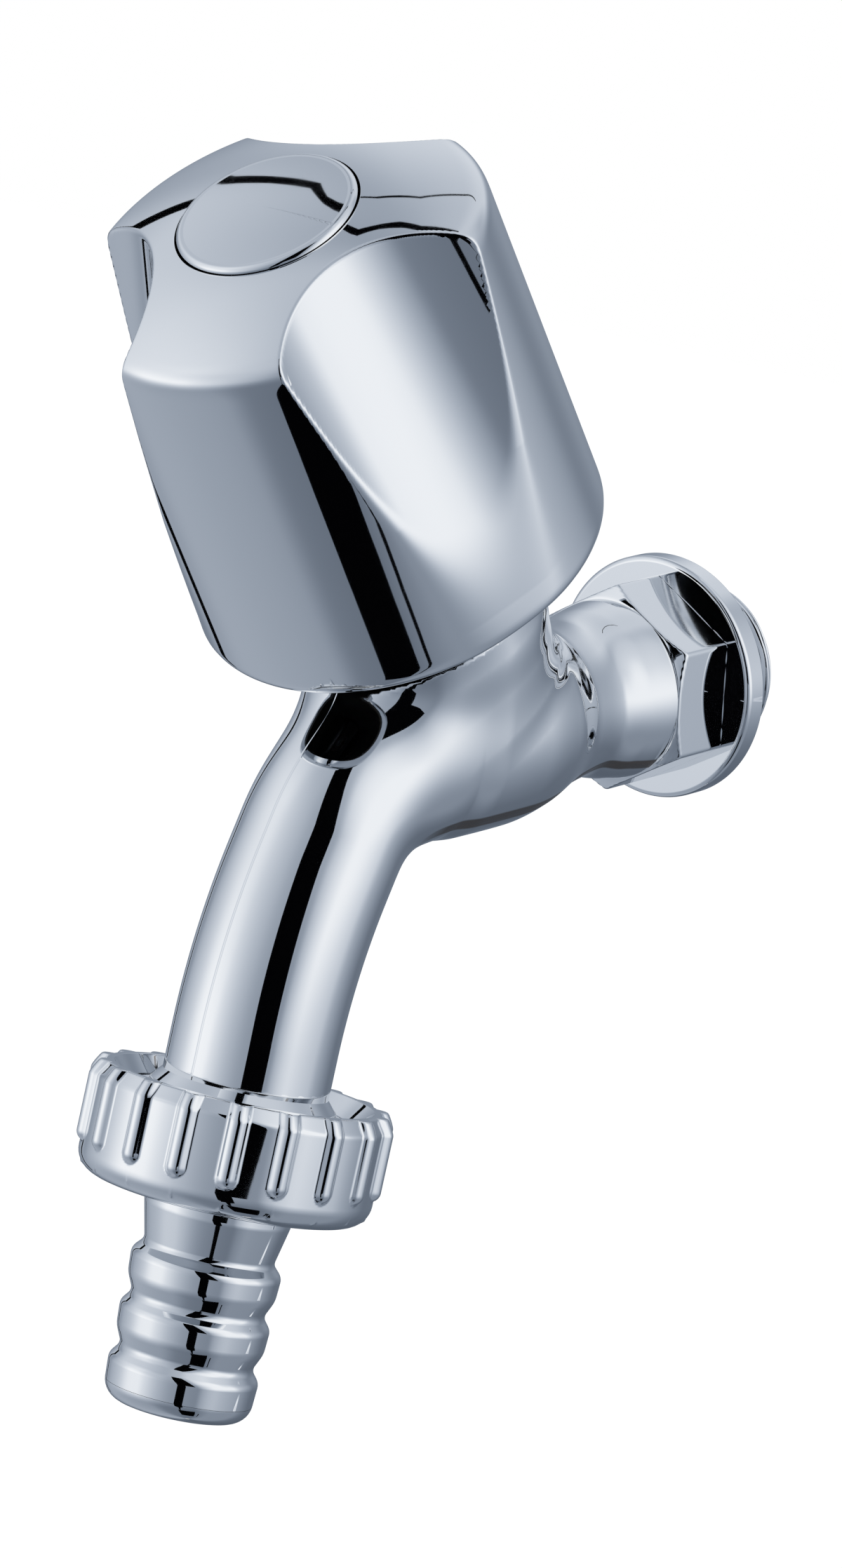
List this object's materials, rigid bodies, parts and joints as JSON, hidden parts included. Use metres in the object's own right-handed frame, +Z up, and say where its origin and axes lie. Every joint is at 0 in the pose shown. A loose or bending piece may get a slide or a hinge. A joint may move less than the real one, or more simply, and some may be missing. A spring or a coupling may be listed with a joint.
{
  "type": "utility sink tap",
  "caption": "Wall-held chromed bib tap: hexagon inlet, raked screw-down valve under a three-lobed knob, and a union nut that holds a ridged hose tail.",
  "frame": {"origin": "on the inlet thread's axis, in the plane of the wall that the flange sits on", "axes": "+Y along the inlet's axis into the wall, +Z up, +X to the right of someone who faces the wall"},
  "size_m": [0.0484, 0.1014, 0.1463],
  "materials": {
    "chrome": "mirror chrome plate",
    "brass": "machined",
    "rubber": "matt",
    "nylon": "moulded",
    "steel": "turned"
  },
  "bodies": {
    "casting": {"body": "chrome", "wall_flange": "chrome", "seat_ring": "steel", "bonnet_gasket": "rubber", "bonnet": "brass", "slip_washer": "nylon"},
    "jumper_valve": {"jumper": "brass", "seat_washer": "rubber", "washer_nut": "brass"},
    "knob": {"spindle": "brass", "spindle_o_rings": "rubber", "retaining_clip": "steel", "knob_insert": "nylon", "knob_shell": "chrome", "lock_washer": "steel", "knob_screw": "steel", "knob_cap": "chrome"},
    "tail": {"hose_tail": "chrome", "tail_washer": "rubber"},
    "nut": {"union_nut": "chrome"}
  },
  "joints": [
    {"name": "valve_lift", "type": "slide", "parent": "casting", "child": "jumper_valve", "axis": [0, -0.521, 0.8536], "range_m": [0, 0.0044]},
    {"name": "knob_spin", "type": "hinge", "parent": "jumper_valve", "child": "knob", "pos_m": [0, -0.0368, 0], "axis": [0, -0.521, 0.8536], "range_deg": [0, 900]},
    {"name": "tail_drop", "type": "slide", "parent": "casting", "child": "tail", "axis": [0, -0.2487, -0.9686], "range_m": [0, 0.00545]},
    {"name": "nut_spin", "type": "hinge", "parent": "tail", "child": "nut", "pos_m": [0, -0.07599, -0.04897], "axis": [0, -0.2487, -0.9686], "range_deg": [0, 1080]}
  ],
  "couplings": [
    {"joint": "knob_spin", "follows": "valve_lift", "rad_per_m": 3569.9},
    {"joint": "nut_spin", "follows": "tail_drop", "rad_per_m": 3458.6}
  ]
}
